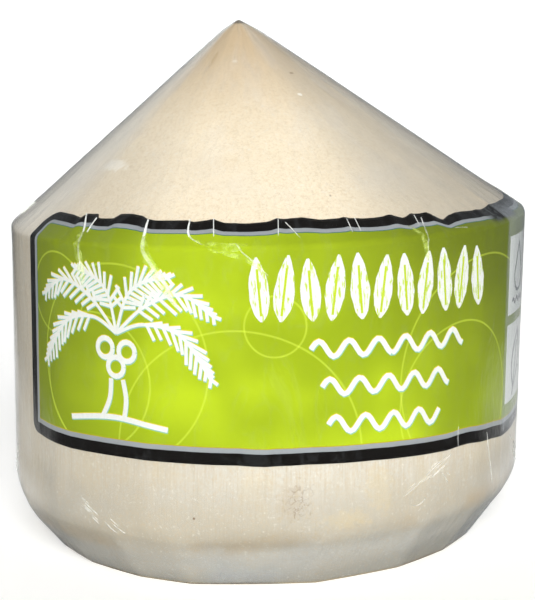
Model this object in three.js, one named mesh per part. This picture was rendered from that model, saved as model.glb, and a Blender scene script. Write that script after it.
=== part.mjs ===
// A young coconut pared with a knife: a flat foot, a bevel, an upright drum and a cone, with a printed
// label round the drum and a clear film over both.
// Millimetres, +Z up. The origin is on the surface it stands on, under the middle of the fruit, and the
// front faces -Y. Angles round the fruit are in degrees from the front, growing towards +X.

import * as THREE from "three";

// Driving dimensions of the husk. Each ring is a corner of its outline: the radius and height of the
// corner before it is rounded, the radius that rounds it, and how far the knife set that ring to one side.
const foot = { radius: 50.4, height: 0, round: 1.2, lean: -1.99, steps: 2 };
const bevelKnee = { radius: 57.9, height: 8.7, round: 14, lean: -2.4, steps: 2 };
const bevelTop = { radius: 61.2, height: 14.1, round: 3.2, lean: -1.25, steps: 3 };
const shoulder = { radius: 61.3, height: 76.9, round: 1.3, lean: 1.22, steps: 3 };
const tip = { radius: 0, height: 122.8, round: 1.2, lean: -4.35, steps: 2 };
const rings = [foot, bevelKnee, bevelTop, shoulder, tip];

// The knife leaves upright flats all round, of these widths in degrees, the first one starting at the
// given angle. They are worn to this share of a true flat's depth.
const flatWidths = [25, 30, 20, 25, 15, 10, 25, 20, 25, 30, 20, 25, 20, 25, 25, 20];
const firstFlat = -50;
const flatShare = 0.25;

// The skins over the husk, each clear of the one below it
const skinGap = 0.3;
const labelThickness = 0.3;
const filmThickness = 0.3;

// The label: a strip with rounded corners, started low on the drum and turned over the shoulder. It is
// wrapped a little askew, with its right side lower.
const labelStart = -60.4;
const labelSweep = 260;
const labelFoot = 30.6;
const labelWidth = 53.1;
const labelCorner = 5;
const labelFall = 0.029;

// The film ends this far up the bevel.
const filmHem = 2.6;

// How finely the round pieces are faceted
const turnedSides = 72;
const cornerColumns = 4;
const cornerRows = 2;
const firstCornerAngle = 12;
const bendClearance = 0.9;

const degree = Math.PI / 180;
const sideAngle = 360 / turnedSides;
const cornerSweep = labelCorner / (shoulder.radius * degree);

// The normal on the right-hand side of a direction in the outline's plane
function outwardNormal(direction) {
  return new THREE.Vector2(direction.y, -direction.x);
}

function cornerPoint(ring) {
  return new THREE.Vector2(ring.radius, ring.height);
}

// The points and normals of one rounded corner between the corners before and after it
function roundedCorner(before, ring, after) {
  const corner = cornerPoint(ring);
  const startNormal = outwardNormal(corner.clone().sub(before).normalize());
  const endNormal = outwardNormal(after.clone().sub(corner).normalize());
  const halfTurn = startNormal.angleTo(endNormal) / 2;
  const middle = startNormal.clone().add(endNormal).normalize();
  const centre = corner.clone().addScaledVector(middle, -ring.round / Math.cos(halfTurn));
  const stations = [];
  for (let step = 0; step <= ring.steps; step += 1) {
    const angle = startNormal.angle() + (2 * halfTurn * step) / ring.steps;
    const normal = new THREE.Vector2(Math.cos(angle), Math.sin(angle));
    stations.push({ point: centre.clone().addScaledVector(normal, ring.round), normal });
  }
  return stations;
}

// The round top of the tip, from the cone's side to the axis
function roundedTip(before) {
  const side = outwardNormal(cornerPoint(tip).sub(before).normalize());
  const centreHeight = tip.height - tip.round / side.y;
  const stations = [];
  for (let step = 0; step <= tip.steps; step += 1) {
    const angle = THREE.MathUtils.lerp(side.angle(), Math.PI / 2, step / tip.steps);
    const normal = new THREE.Vector2(Math.cos(angle), Math.sin(angle));
    const point = new THREE.Vector2(0, centreHeight).addScaledVector(normal, tip.round);
    stations.push({ point, normal });
  }
  const top = stations[stations.length - 1];
  top.point.x = 0;
  top.normal.set(0, 1);
  return stations;
}

// The husk's outline from the middle of the foot up to the tip, with the length walked to each station
function huskOutline() {
  const axisStart = new THREE.Vector2(0, 0);
  const stations = [{ point: axisStart, normal: new THREE.Vector2(0, -1) }];
  for (let index = 0; index < rings.length - 1; index += 1) {
    const before = index === 0 ? axisStart : cornerPoint(rings[index - 1]);
    stations.push(...roundedCorner(before, rings[index], cornerPoint(rings[index + 1])));
  }
  stations.push(...roundedTip(cornerPoint(shoulder)));
  let walked = 0;
  stations.forEach((station, index) => {
    if (index > 0) {
      walked += station.point.distanceTo(stations[index - 1].point);
    }
    station.walked = walked;
  });
  return stations;
}

const outline = huskOutline();

// The station at a length along the outline
function stationAt(length) {
  const next = outline.findIndex((station) => station.walked >= length);
  const above = outline[next];
  const below = outline[next - 1];
  const share = (length - below.walked) / (above.walked - below.walked);
  const point = below.point.clone().lerp(above.point, share);
  const normal = below.normal.clone().lerp(above.normal, share).normalize();
  return { point, normal, walked: length };
}

// The length along the outline at a height on the side of the fruit
function walkedAtHeight(height) {
  const next = outline.findIndex((station) => station.point.y > height);
  const above = outline[next];
  const below = outline[next - 1];
  const share = (height - below.point.y) / (above.point.y - below.point.y);
  return THREE.MathUtils.lerp(below.walked, above.walked, share);
}

function raised(station, distance) {
  return station.point.clone().addScaledVector(station.normal, distance);
}

// How far the knife set the fruit to one side at a height
function leanAt(height) {
  const upper = rings.find((ring) => ring.height >= height) ?? tip;
  const lower = rings[Math.max(rings.indexOf(upper) - 1, 0)];
  if (upper === lower) {
    return upper.lean;
  }
  const share = Math.min((height - lower.height) / (upper.height - lower.height), 1);
  return THREE.MathUtils.lerp(lower.lean, upper.lean, share);
}

// How deep the knife's flats cut in at an angle round the fruit, as a share of its radius
function flatCutAt(angle) {
  let intoFlat = THREE.MathUtils.euclideanModulo(angle - firstFlat, 360);
  let index = 0;
  while (index < flatWidths.length - 1 && intoFlat > flatWidths[index]) {
    intoFlat -= flatWidths[index];
    index += 1;
  }
  const half = (flatWidths[index] / 2) * degree;
  const fromMiddle = intoFlat * degree - half;
  return flatShare * (1 - Math.cos(half) / Math.cos(fromMiddle));
}

// Moves the points of a truly round body to where the knife left them
function pare(geometry) {
  const position = geometry.getAttribute("position");
  const point = new THREE.Vector3();
  for (let index = 0; index < position.count; index += 1) {
    point.fromBufferAttribute(position, index);
    const radius = Math.hypot(point.x, point.y);
    const angle = Math.atan2(point.x, -point.y) / degree;
    const share = radius > 0 ? 1 - flatCutAt(angle) : 1;
    position.setXYZ(index, point.x * share + leanAt(point.z), point.y * share, point.z);
  }
  geometry.computeVertexNormals();
  return geometry;
}

// Turns an outline about the upright axis. The turn starts at the front.
function turned(points) {
  const geometry = new THREE.LatheGeometry(points, turnedSides);
  geometry.rotateX(Math.PI / 2);
  return pare(geometry);
}

function namedMesh(name, geometry, material) {
  const mesh = new THREE.Mesh(geometry, material);
  mesh.name = name;
  return mesh;
}

// Materials

function huskMaterial() {
  return new THREE.MeshStandardMaterial({ color: 0xefe4cf, roughness: 0.6, metalness: 0 });
}

function labelMaterial() {
  return new THREE.MeshStandardMaterial({ color: 0xbbd532, roughness: 0.35, metalness: 0 });
}

function filmMaterial() {
  return new THREE.MeshStandardMaterial({
    color: 0xffffff,
    roughness: 0.08,
    metalness: 0,
    transparent: true,
    opacity: 0.18,
  });
}

// The fruit

function coconut() {
  const points = outline.map((station) => station.point);
  return namedMesh("coconut", turned(points), huskMaterial());
}

// The label

// Angles of the label's columns from its left end: on the husk's own sides, and closer together where
// the ends are rounded
function labelColumns() {
  const angles = [0];
  for (let step = 1; step < cornerColumns; step += 1) {
    const bend = THREE.MathUtils.lerp(firstCornerAngle, 90, step / cornerColumns);
    angles.push(cornerSweep * (1 - Math.cos(bend * degree)));
  }
  const mirrored = angles.map((angle) => labelSweep - angle).reverse();
  let side = Math.ceil((labelStart + cornerSweep) / sideAngle) * sideAngle;
  while (side < labelStart + labelSweep - cornerSweep) {
    angles.push(side - labelStart);
    side += sideAngle;
  }
  return angles.concat(mirrored);
}

// How far the rounded corners bring the label's edges in, at a column
function cornerInset(angle) {
  const fromEnd = Math.min(angle, labelSweep - angle) / cornerSweep;
  const firstShare = 1 - Math.cos(firstCornerAngle * degree);
  const across = 1 - Math.min(Math.max(fromEnd, firstShare), 1);
  return labelCorner * (1 - Math.sqrt(1 - across * across));
}

// The lengths along the outline of one column of the label, from its lower to its upper edge: rows that
// follow the rounded corners, and between them one row at every bend of the husk
function labelRows(angle, bends) {
  const fall = labelFall * shoulder.radius * Math.sin((labelStart + angle) * degree);
  const lower = walkedAtHeight(labelFoot) - fall;
  const upper = lower + labelWidth;
  const lowerTurn = lower + labelCorner;
  const upperTurn = Math.max(upper - labelCorner, bends[bends.length - 1] + bendClearance);
  const inset = cornerInset(angle);
  const lowerRows = [];
  const upperRows = [];
  for (let step = 0; step <= cornerRows; step += 1) {
    lowerRows.push(THREE.MathUtils.lerp(lower + inset, lowerTurn, step / cornerRows));
    upperRows.unshift(THREE.MathUtils.lerp(upper - inset, upperTurn, step / cornerRows));
  }
  return lowerRows.concat(bends, upperRows);
}

function label() {
  const lowerEdge = walkedAtHeight(labelFoot);
  const bends = outline
    .map((station) => station.walked)
    .filter((walked) => walked > lowerEdge && walked < lowerEdge + labelWidth);
  const columns = labelColumns();
  const rows = columns.map((angle) => labelRows(angle, bends));
  const acrossSteps = columns.length - 1;
  const upSteps = rows[0].length - 1;
  const sheet = new THREE.BoxGeometry(1, 1, 1, acrossSteps, upSteps, 1);
  const position = sheet.getAttribute("position");
  for (let index = 0; index < position.count; index += 1) {
    const column = Math.round((position.getX(index) + 0.5) * acrossSteps);
    const row = Math.round((position.getY(index) + 0.5) * upSteps);
    const height = position.getZ(index) > 0 ? skinGap + labelThickness : skinGap;
    const place = raised(stationAt(rows[column][row]), height);
    const angle = (labelStart + columns[column]) * degree;
    position.setXYZ(index, place.x * Math.sin(angle), -place.x * Math.cos(angle), place.y);
  }
  return namedMesh("label", pare(sheet), labelMaterial());
}

// The film

function film() {
  const inside = skinGap + labelThickness + skinGap;
  const hem = walkedAtHeight(filmHem);
  const covered = [stationAt(hem), ...outline.filter((station) => station.walked > hem)];
  const outer = covered.map((station) => raised(station, inside + filmThickness));
  const inner = covered.map((station) => raised(station, inside)).reverse();
  return namedMesh("film", turned([...inner, ...outer]), filmMaterial());
}

const group = new THREE.Group();
group.add(coconut(), label(), film());

export default group;
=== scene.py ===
import math
import random

import bpy
import numpy as np
from mathutils import Matrix, Vector


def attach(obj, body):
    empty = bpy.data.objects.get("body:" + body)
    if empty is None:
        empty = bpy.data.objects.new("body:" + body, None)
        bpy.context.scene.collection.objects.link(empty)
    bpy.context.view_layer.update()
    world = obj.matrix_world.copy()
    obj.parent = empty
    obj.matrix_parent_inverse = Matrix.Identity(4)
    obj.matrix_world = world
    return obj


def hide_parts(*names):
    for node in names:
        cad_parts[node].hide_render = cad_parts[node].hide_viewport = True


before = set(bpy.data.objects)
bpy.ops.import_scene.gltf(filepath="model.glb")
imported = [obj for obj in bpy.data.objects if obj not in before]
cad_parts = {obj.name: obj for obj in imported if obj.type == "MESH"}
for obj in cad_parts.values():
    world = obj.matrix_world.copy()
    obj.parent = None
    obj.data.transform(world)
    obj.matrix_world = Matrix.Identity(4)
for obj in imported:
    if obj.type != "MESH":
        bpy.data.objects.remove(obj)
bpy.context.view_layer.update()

# A trimmed young coconut on a pale table: its fibrous husk, a printed label round the drum and a clear
# film over both. Metres in Blender; lengths below are in millimetres unless a name says otherwise.
# Places on the fruit are an angle in degrees from the front, growing towards +X, and the length walked
# up its outline from the middle of the foot.

mm = 0.001
scene = bpy.context.scene

# The husk's outline, as in the solids but for softer corners: each ring's corner before rounding, the
# radius that rounds it, and how far the knife set the ring to one side
rings = [
    {"radius": 51.1, "height": 0.0, "round": 1.2, "lean": -1.6},
    {"radius": 57.6, "height": 8.7, "round": 20.0, "lean": -1.8},
    {"radius": 61.2, "height": 14.1, "round": 7.0, "lean": -1.25},
    {"radius": 61.3, "height": 76.9, "round": 0.5, "lean": 1.22},
    {"radius": 0.0, "height": 123.7, "round": 0.3, "lean": -4.35},
]
drumRadius = 61.3
arcSteps = 8

# The knife's upright flats and its facets round the bevel: their widths in degrees, the angle where the
# first starts, and the share of a true flat's depth that they are worn to
flats = {
    "widths": [25, 30, 20, 25, 15, 10, 25, 20, 25, 30, 20, 25, 20, 25, 25, 20],
    "start": -50,
    "share": 0.25,
}
facets = {
    "widths": [15, 18, 14, 31, 23, 17, 13, 20, 25, 30, 20, 25, 20, 25, 30, 34],
    "start": -66,
    "share": 0.7,
}

# The drum stands out a little on its left and right
sideSwell = 0.32

# How far each skin stands off the solids' husk
lifts = {"husk": 0.80, "labelBack": 0.62, "label": 0.93, "filmInside": 1.04, "film": 1.10}


# The outline and places on it


def turnedOutline():
    corners = [np.zeros(2)] + [np.array([ring["radius"], ring["height"]]) for ring in rings]
    points = [corners[0]]
    normals = [np.array([0.0, -1.0])]

    def sideNormal(start, end):
        along = (end - start) / np.linalg.norm(end - start)
        return np.array([along[1], -along[0]])

    for index, ring in enumerate(rings[:-1], start=1):
        first = sideNormal(corners[index - 1], corners[index])
        last = sideNormal(corners[index], corners[index + 1])
        half = math.acos(float(first @ last)) / 2
        middle = (first + last) / np.linalg.norm(first + last)
        centre = corners[index] - middle * ring["round"] / math.cos(half)
        start = math.atan2(first[1], first[0])
        for step in range(arcSteps + 1):
            turn = start + 2 * half * step / arcSteps
            normal = np.array([math.cos(turn), math.sin(turn)])
            points.append(centre + normal * ring["round"])
            normals.append(normal)
    side = sideNormal(corners[-2], corners[-1])
    tipRound = rings[-1]["round"]
    centre = np.array([0.0, rings[-1]["height"] - tipRound / side[1]])
    for turn in np.linspace(math.atan2(side[1], side[0]), math.pi / 2, arcSteps + 1):
        normal = np.array([math.cos(turn), math.sin(turn)])
        points.append(centre + normal * tipRound)
        normals.append(normal)
    points[-1][0] = 0.0
    walked = np.concatenate([[0.0], np.cumsum(np.linalg.norm(np.diff(points, axis=0), axis=1))])
    return np.array(points), np.array(normals), walked


outlinePoints, outlineNormals, outlineWalked = turnedOutline()
ringHeights = [ring["height"] for ring in rings]
ringLeans = [ring["lean"] for ring in rings]


def walkedAt(height):
    side = outlinePoints[:, 1] > 1e-6
    return float(np.interp(height, outlinePoints[side, 1], outlineWalked[side]))


# How deep a round of cuts goes at an angle, as a share of the radius
def cutDepth(angle, cuts):
    edges = np.concatenate([[0], np.cumsum(cuts["widths"])])
    into = np.mod(angle - cuts["start"], 360)
    index = np.clip(np.searchsorted(edges, into, side="right") - 1, 0, len(cuts["widths"]) - 1)
    half = np.radians(np.array(cuts["widths"])[index] / 2)
    fromMiddle = np.radians(into - edges[index]) - half
    return cuts["share"] * (1 - np.cos(half) / np.cos(fromMiddle))


# Points on the fruit, in metres, at angles, walked lengths and distances off the husk
def onFruit(angle, walked, lift):
    angle, walked, lift = np.broadcast_arrays(*map(np.asarray, (angle, walked, lift)))
    # Every skin is drawn in towards the tip
    lift = lift * np.interp(walked, [outlineWalked[-1] - 5, outlineWalked[-1] - 0.5], [1, 0.5])
    place = [np.interp(walked, outlineWalked, outlinePoints[:, axis]) for axis in (0, 1)]
    normal = [np.interp(walked, outlineWalked, outlineNormals[:, axis]) for axis in (0, 1)]
    length = np.hypot(*normal)
    radius = place[0] + normal[0] / length * lift
    height = place[1] + normal[1] / length * lift
    onBevel = np.interp(height, [11, 17], [1, 0])
    radius = radius * (1 - cutDepth(angle, facets) * onBevel - cutDepth(angle, flats) * (1 - onBevel))
    turn = np.radians(angle)
    radius = radius + sideSwell * np.sin(turn) ** 2 * np.interp(height, [0, 12, 78, 84], [0, 1, 1, 0])
    x = radius * np.sin(turn) + np.interp(height, ringHeights, ringLeans)
    return np.stack([x, -radius * np.cos(turn), height], axis=-1) * mm


# Lengths along the outline from one place to another, with every arc's own stations kept
def rowsBetween(start, end, spacing):
    inside = outlineWalked[(outlineWalked > start + 0.05) & (outlineWalked < end - 0.05)]
    stops = np.concatenate([[start], inside, [end]])
    rows = [start]
    for lower, upper in zip(stops[:-1], stops[1:]):
        count = max(1, math.ceil((upper - lower) / spacing))
        rows.extend(np.linspace(lower, upper, count + 1)[1:])
    return np.array(rows)


# Meshes


def meshObject(name, points, faces):
    mesh = bpy.data.meshes.new(name)
    mesh.from_pydata(np.asarray(points).tolist(), [], faces)
    mesh.validate()
    mesh.shade_smooth()
    piece = bpy.data.objects.new(name, mesh)
    scene.collection.objects.link(piece)
    return piece


# Quads between neighbouring columns and rows of a grid numbered row by row, facing outwards
def gridFaces(rows, columns, first=0, closed=False, inward=False):
    faces = []
    for row in range(rows - 1):
        for column in range(columns if closed else columns - 1):
            beside = (column + 1) % columns
            quad = [
                first + row * columns + column,
                first + row * columns + beside,
                first + (row + 1) * columns + beside,
                first + (row + 1) * columns + column,
            ]
            faces.append(quad[::-1] if inward else quad)
    return faces


def setAttribute(mesh, name, values):
    values = np.asarray(values, np.float32)
    kind, field = ("FLOAT_VECTOR", "vector") if values.ndim > 1 else ("FLOAT", "value")
    mesh.attributes.new(name, kind, "POINT").data.foreach_set(field, values.ravel())


# Coordinates that follow the surface without a seam: round the drum, and the walked length as the third
def wrappedAt(angle, walked):
    turn = np.radians(angle)
    return np.stack([drumRadius * np.sin(turn), -drumRadius * np.cos(turn), walked], axis=-1)


# A piece with its modifiers applied, under its own name
def plainMesh(piece, name):
    bpy.context.view_layer.update()
    depsgraph = bpy.context.evaluated_depsgraph_get()
    shaped = piece.evaluated_get(depsgraph)
    mesh = bpy.data.meshes.new_from_object(shaped, preserve_all_data_layers=True, depsgraph=depsgraph)
    old = piece.data
    bpy.data.objects.remove(piece)
    made = bpy.data.objects.new(name, mesh)
    scene.collection.objects.link(made)
    mesh.name = name
    if isinstance(old, bpy.types.Mesh) and old.users == 0:
        bpy.data.meshes.remove(old)
    return made


# Nodes


# Each input is a socket to link from or a value
def setInputs(tree, node, inputs):
    for key, value in inputs.items():
        if isinstance(value, bpy.types.NodeSocket):
            tree.links.new(value, node.inputs[key])
        else:
            node.inputs[key].default_value = value


def addNode(tree, kind, inputs=None, **settings):
    made = tree.nodes.new(kind)
    for key, value in settings.items():
        setattr(made, key, value)
    setInputs(tree, made, inputs or {})
    return made


def calc(tree, operation, first, second=0.0, clamp=False):
    inputs = {0: first, 1: second, 2: 0.0}
    return addNode(tree, "ShaderNodeMath", inputs, operation=operation, use_clamp=clamp).outputs[0]


def times(tree, first, second):
    return calc(tree, "MULTIPLY", first, second)


def plus(tree, first, second, clamp=False):
    return calc(tree, "ADD", first, second, clamp=clamp)


def minus(tree, first, second):
    return calc(tree, "SUBTRACT", first, second)


def vectorCalc(tree, operation, first, second=(0.0, 0.0, 0.0), scale=1.0):
    inputs = {0: first, 3: scale} if operation == "SCALE" else {0: first, 1: second}
    made = addNode(tree, "ShaderNodeVectorMath", inputs, operation=operation).outputs
    return made["Value"] if operation in ("LENGTH", "DISTANCE", "DOT_PRODUCT") else made[0]


def between(tree, value, low, high, toLow=0.0, toHigh=1.0, interpolation="SMOOTHSTEP"):
    inputs = {"Value": value, 1: low, 2: high, 3: toLow, 4: toHigh}
    return addNode(tree, "ShaderNodeMapRange", inputs, interpolation_type=interpolation).outputs[0]


def mixColour(tree, share, first, second):
    return addNode(tree, "ShaderNodeMix", {0: share, 6: first, 7: second}, data_type="RGBA").outputs[2]


def noise(tree, vector, scale, detail=3.0, roughness=0.5, seed=0.0, distortion=0.0):
    drift = vectorCalc(tree, "SCALE", (17.3, 5.1, 9.7), scale=seed)
    inputs = {
        "Vector": vectorCalc(tree, "ADD", vector, drift),
        "Scale": scale,
        "Detail": detail,
        "Roughness": roughness,
        "Distortion": distortion,
    }
    return addNode(tree, "ShaderNodeTexNoise", inputs).outputs["Fac"]


def attribute(tree, name):
    return addNode(tree, "ShaderNodeAttribute", attribute_name=name).outputs["Vector"]


def parts(tree, vector):
    return addNode(tree, "ShaderNodeSeparateXYZ", {0: vector}).outputs


def combined(tree, x=0.0, y=0.0, z=0.0):
    return addNode(tree, "ShaderNodeCombineXYZ", {"X": x, "Y": y, "Z": z}).outputs[0]


# The object's own coordinates, in millimetres
def objectPlace(tree):
    place = addNode(tree, "ShaderNodeTexCoord").outputs["Object"]
    return vectorCalc(tree, "SCALE", place, scale=1 / mm)


# A value stored on the mesh, in a Geometry Nodes tree
def stored(tree, name, kind="FLOAT"):
    return addNode(tree, "GeometryNodeInputNamedAttribute", {"Name": name}, data_type=kind).outputs[0]


# A node group. A socket's default gives its kind; where it has none, its kind is named.
def newGroup(name, inputs, outputs, kind="ShaderNodeTree"):
    tree = bpy.data.node_groups.new(name, kind)
    kinds = {float: "Float", int: "Int"}
    for direction, sockets in (("INPUT", inputs), ("OUTPUT", outputs)):
        for label, value in sockets.items():
            socketKind = "NodeSocket" + kinds.get(type(value), value if isinstance(value, str) else "")
            socket = tree.interface.new_socket(name=label, in_out=direction, socket_type=socketKind)
            if not isinstance(value, str):
                socket.default_value = value
    return tree, addNode(tree, "NodeGroupInput").outputs, addNode(tree, "NodeGroupOutput").inputs


def placeGroup(tree, group, inputs):
    made = tree.nodes.new(tree.bl_idname.replace("NodeTree", "NodeGroup"))
    made.node_tree = group
    setInputs(tree, made, inputs)
    return made.outputs


def newMaterial(name):
    material = bpy.data.materials.new(name)
    material.use_nodes = True
    tree = material.node_tree
    tree.nodes.clear()
    return material, tree


def finishMaterial(tree, shader):
    addNode(tree, "ShaderNodeOutputMaterial", {"Surface": shader})


def principled(tree, tone, roughness, more=None):
    inputs = {"Base Color": tone, "Roughness": roughness, **(more or {})}
    return addNode(tree, "ShaderNodeBsdfPrincipled", inputs).outputs[0]


def mixShader(tree, share, first, second):
    return addNode(tree, "ShaderNodeMixShader", {0: share, 1: first, 2: second}).outputs[0]


def clearShader(tree, inputs=None):
    return addNode(tree, "ShaderNodeBsdfTransparent", inputs).outputs[0]


def bumped(tree, height, strength, distance):
    inputs = {"Strength": strength, "Distance": distance * mm, "Height": height}
    return addNode(tree, "ShaderNodeBump", inputs).outputs[0]


# Colours laid over a first one in turn, each by its share
def layered(tree, tone, *layers):
    for share, over in layers:
        tone = mixColour(tree, share, tone, over)
    return tone


# sRGB values to the linear ones that sockets hold
def colour(*values):
    def linear(share):
        return share / 12.92 if share < 0.0404 else ((share + 0.055) / 1.055) ** 2.4

    return (*[linear(value / 255) for value in values], 1.0)


# Shader groups


# A soft-edged spot at a place on the wrapped surface, its outline broken by a rough value about 0.5
def spotGroup():
    tree, given, out = newGroup(
        "surface spot",
        {
            "Wrapped": "Vector",
            "Rough": 0.5,
            "Centre": "Vector",
            "Half Width": 1.0,
            "Half Height": 1.0,
            "Raggedness": 0.3,
        },
        {"Mask": "Float"},
    )
    away = vectorCalc(tree, "SUBTRACT", given["Wrapped"], given["Centre"])
    size = combined(tree, given["Half Width"], given["Half Width"], given["Half Height"])
    near = vectorCalc(tree, "LENGTH", vectorCalc(tree, "DIVIDE", away, size))
    ragged = times(tree, minus(tree, given["Rough"], 0.5), times(tree, given["Raggedness"], 4.0))
    tree.links.new(between(tree, plus(tree, near, ragged), 1.1, 0.5), out["Mask"])
    return tree


# Noise drawn out along the walked length: fine threads of fibre, and broader blotches
def fibreGroup():
    tree, given, out = newGroup(
        "husk fibre",
        {"Wrapped": "Vector", "Width": 0.6, "Stretch": 14.0, "Seed": 0.0},
        {"Threads": "Float", "Blotches": "Float"},
    )
    squeeze = combined(tree, 1.0, 1.0, calc(tree, "DIVIDE", 1.0, given["Stretch"]))
    along = vectorCalc(tree, "MULTIPLY", given["Wrapped"], squeeze)
    perWidth = calc(tree, "DIVIDE", 1.0, given["Width"])
    fine = noise(tree, along, perWidth, 4.0, 0.62, given["Seed"])
    broad = noise(tree, along, times(tree, perWidth, 0.16), 3.0, 0.55, given["Seed"])
    tree.links.new(fine, out["Threads"])
    tree.links.new(broad, out["Blotches"])
    return tree


spotMask = spotGroup()
huskFibre = fibreGroup()


# Relief: one Geometry Nodes tree that gives the husk its fibre and dents and the film its wrinkles


def finishGeometry(tree, geometry, given):
    real = addNode(tree, "GeometryNodeRealizeInstances", {"Geometry": geometry}).outputs[0]
    inputs = {"Geometry": real, "Material": given["Material"]}
    return addNode(tree, "GeometryNodeSetMaterial", inputs).outputs[0]


def reliefTree():
    tree, given, out = newGroup(
        "surface relief",
        {
            "Geometry": "Geometry",
            "Grain Depth": 0.05,
            "Grain Width": 2.0,
            "Grain Stretch": 8.0,
            "Swell Depth": 0.1,
            "Swell Size": 18.0,
            "Seed": 0.0,
            "Material": "Material",
        },
        {"Geometry": "Geometry"},
        "GeometryNodeTree",
    )
    wrapped = stored(tree, "wrapped", "FLOAT_VECTOR")
    squeeze = combined(tree, 1.0, 1.0, calc(tree, "DIVIDE", 1.0, given["Grain Stretch"]))
    along = vectorCalc(tree, "MULTIPLY", wrapped, squeeze)
    grain = noise(tree, along, calc(tree, "DIVIDE", 1.0, given["Grain Width"]), 3.0, 0.55, given["Seed"])
    swell = noise(tree, wrapped, calc(tree, "DIVIDE", 1.0, given["Swell Size"]), 1.0, 0.5, given["Seed"])
    heights = []
    kinds = ((grain, "Grain Depth", "grainShare"), (swell, "Swell Depth", "reliefShare"))
    for value, depth, share in kinds:
        full = times(tree, minus(tree, value, 0.5), times(tree, given[depth], 2.0))
        heights.append(times(tree, full, stored(tree, share)))
    normal = addNode(tree, "GeometryNodeInputNormal").outputs[0]
    offset = vectorCalc(tree, "SCALE", normal, scale=times(tree, plus(tree, *heights), mm))
    inputs = {"Geometry": given["Geometry"], "Offset": offset}
    moved = addNode(tree, "GeometryNodeSetPosition", inputs).outputs[0]
    tree.links.new(finishGeometry(tree, moved, given), out["Geometry"])
    return tree


surfaceRelief = reliefTree()


def addTree(piece, tree, inputs):
    modifier = piece.modifiers.new(tree.name, "NODES")
    modifier.node_group = tree
    sockets = {item.name: item.identifier for item in tree.interface.items_tree if item.in_out == "INPUT"}
    for label, value in inputs.items():
        modifier[sockets[label]] = value


# Gives a piece its relief, from its own settings and the husk's shared swell, and leaves a plain mesh
def withRelief(piece, settings, material, name):
    inputs = {
        "Grain Depth": settings["grainDepth"],
        "Grain Width": settings["grainWidth"],
        "Grain Stretch": settings["grainStretch"],
        "Swell Depth": husk["swellDepth"],
        "Swell Size": husk["swellSize"],
        "Seed": husk["seed"],
        "Material": material,
    }
    addTree(piece, surfaceRelief, inputs)
    return plainMesh(piece, name)


# Flat strokes in the XY plane along a mesh's edges: each point's halfWidth attribute scales the stroke
def strokeTree():
    tree, given, out = newGroup(
        "flat strokes",
        {"Geometry": "Geometry", "Width": 1.0, "Step": 0.7, "Points Across": 3, "Material": "Material"},
        {"Geometry": "Geometry"},
        "GeometryNodeTree",
    )
    curve = addNode(tree, "GeometryNodeMeshToCurve", {"Mesh": given["Geometry"]}).outputs[0]
    tree.links.new(strokeMesh(tree, curve, given, stored(tree, "halfWidth")), out["Geometry"])
    return tree


def smoothed(tree, curve):
    inputs = {"Curve": curve}
    return addNode(tree, "GeometryNodeCurveSplineType", inputs, spline_type="CATMULL_ROM").outputs[0]


# Gives a curve its width as a flat strip, and its material
def strokeMesh(tree, curve, given, half=1.0):
    smooth = smoothed(tree, curve)
    inputs = {"Curve": smooth, "Length": given["Step"]}
    sampled = addNode(tree, "GeometryNodeResampleCurve", inputs, mode="LENGTH").outputs[0]
    upright = addNode(tree, "GeometryNodeSetCurveNormal", {"Curve": sampled}, mode="Z_UP").outputs[0]
    shaped = addNode(tree, "GeometryNodeSetCurveRadius", {"Curve": upright, "Radius": half}).outputs[0]
    ends = [combined(tree, times(tree, given["Width"], side)) for side in (-0.5, 0.5)]
    line = addNode(tree, "GeometryNodeCurvePrimitiveLine", {"Start": ends[0], "End": ends[1]}).outputs[0]
    inputs = {"Curve": line, "Count": given["Points Across"]}
    profile = addNode(tree, "GeometryNodeResampleCurve", inputs, mode="COUNT").outputs[0]
    radius = addNode(tree, "GeometryNodeInputRadius").outputs[0]
    inputs = {"Curve": shaped, "Profile Curve": profile, "Scale": radius}
    strip = addNode(tree, "GeometryNodeCurveToMesh", inputs).outputs[0]
    return finishGeometry(tree, strip, given)


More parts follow.
